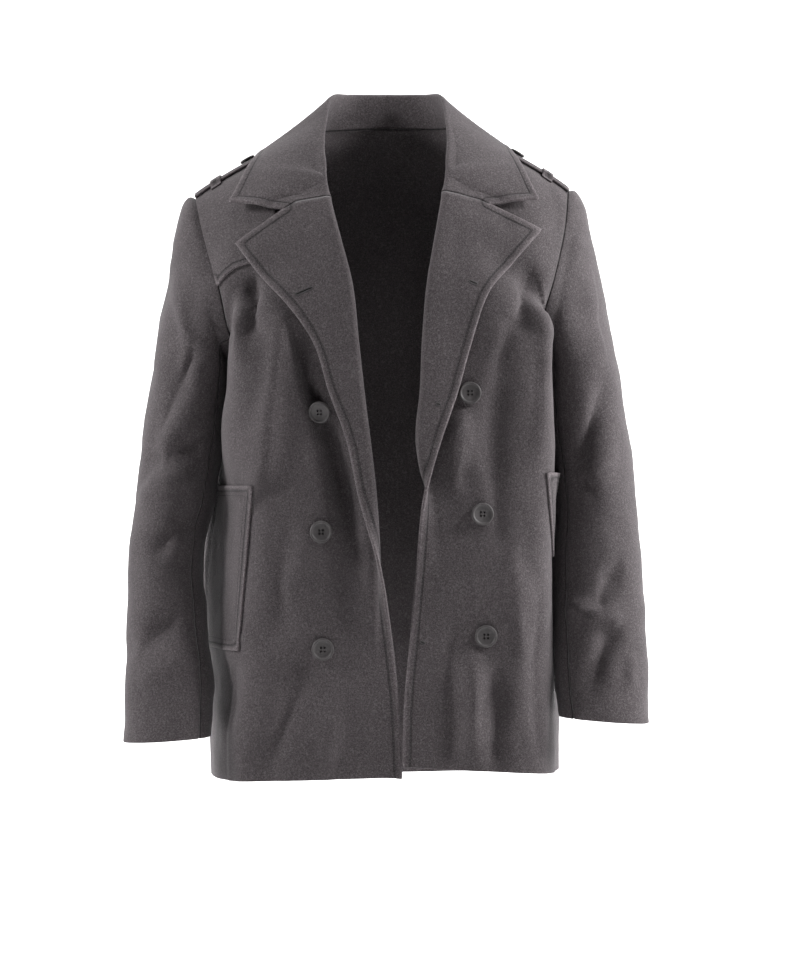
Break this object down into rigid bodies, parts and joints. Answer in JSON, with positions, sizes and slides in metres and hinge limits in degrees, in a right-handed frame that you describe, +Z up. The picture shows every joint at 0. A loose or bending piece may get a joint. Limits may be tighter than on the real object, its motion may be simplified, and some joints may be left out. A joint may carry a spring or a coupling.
{
  "type": "pea coat",
  "caption": "Hip-length double-breasted pea coat in charcoal heathered wool, worn open with wide lapels rolled back.",
  "frame": {"origin": "midway between the two points where the shoulder seams meet the neck, where the wearer's shoulders carry the coat", "axes": "+Z up, -Y out of the front, +X towards the wearer's left"},
  "size_m": [0.6409, 0.3073, 0.8671],
  "materials": {
    "wool": "matte heathered melton",
    "horn": "satin"
  },
  "bodies": {
    "root": {"back": "wool", "front_right": "wool", "front_left": "wool", "collar": "wool", "upper_sleeve_right": "wool", "upper_sleeve_left": "wool", "under_sleeve_right": "wool", "under_sleeve_left": "wool", "storm_flap": "wool", "epaulette_right": "wool", "epaulette_left": "wool", "epaulette_loop_right": "wool", "epaulette_loop_left": "wool", "pocket_right": "wool", "pocket_left": "wool", "epaulette_button_right": "horn", "epaulette_button_left": "horn", "button_right_1": "horn", "button_right_2": "horn", "button_right_3": "horn", "button_left_1": "horn", "button_left_2": "horn", "button_left_3": "horn"}
  },
  "joints": []
}
